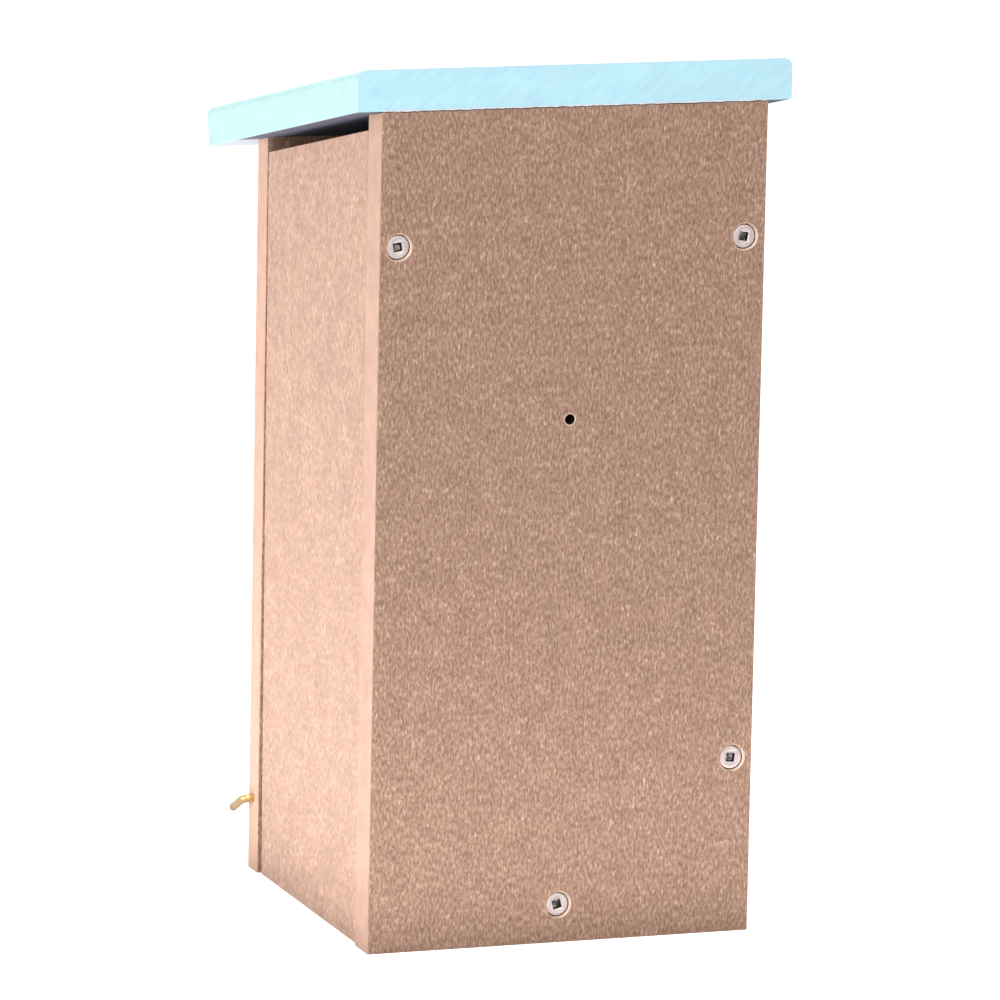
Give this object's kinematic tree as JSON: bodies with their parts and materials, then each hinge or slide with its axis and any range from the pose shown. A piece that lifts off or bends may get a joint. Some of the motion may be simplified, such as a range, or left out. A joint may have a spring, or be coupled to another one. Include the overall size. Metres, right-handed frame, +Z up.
{
  "type": "bluebird nest box",
  "caption": "Board nest box with a round entrance hole, sloping roof, side clean-out door on screw pivots and a turning latch hook.",
  "frame": {"origin": "centre of the mounting hole on the rear face of the back panel", "axes": "+Z up, +Y out of the rear face towards the post or wall, -Y to the front with the entrance hole, +X to the side with the clean-out door"},
  "size_m": [0.1492, 0.16, 0.2918],
  "materials": {
    "tan_board": "flecked tan recycled plastic board, matte",
    "blue_board": "light blue recycled plastic board, matte",
    "stainless_steel": "satin stainless screw",
    "brass": "bright plated brass rod"
  },
  "bodies": {
    "box": {"back_panel": "tan_board", "front_panel": "tan_board", "fixed_side": "tan_board", "floor_panel": "tan_board", "roof_panel": "blue_board", "side_screw_rear_upper": "stainless_steel", "side_screw_rear_lower": "stainless_steel", "side_screw_front_upper": "stainless_steel", "side_screw_front_lower": "stainless_steel", "floor_screw_rear": "stainless_steel", "floor_screw_front": "stainless_steel", "floor_screw_side": "stainless_steel", "roof_screw_rear_left": "stainless_steel", "roof_screw_rear_right": "stainless_steel", "roof_screw_front_left": "stainless_steel", "roof_screw_front_right": "stainless_steel"},
    "clean_out_door": {"door": "tan_board", "pivot_screw_rear": "stainless_steel", "pivot_screw_front": "stainless_steel"},
    "latch": {"latch_hook": "brass"}
  },
  "joints": [
    {"name": "door_swing", "type": "hinge", "parent": "box", "child": "clean_out_door", "pos_m": [0.0602, -0.0653, 0.0588], "axis": [0, -1, 0], "range_deg": [0, 120]},
    {"name": "latch_turn", "type": "hinge", "parent": "box", "child": "latch", "pos_m": [0.0665, -0.1237, -0.1502], "axis": [1, 0, 0], "range_deg": [0, 180]}
  ]
}
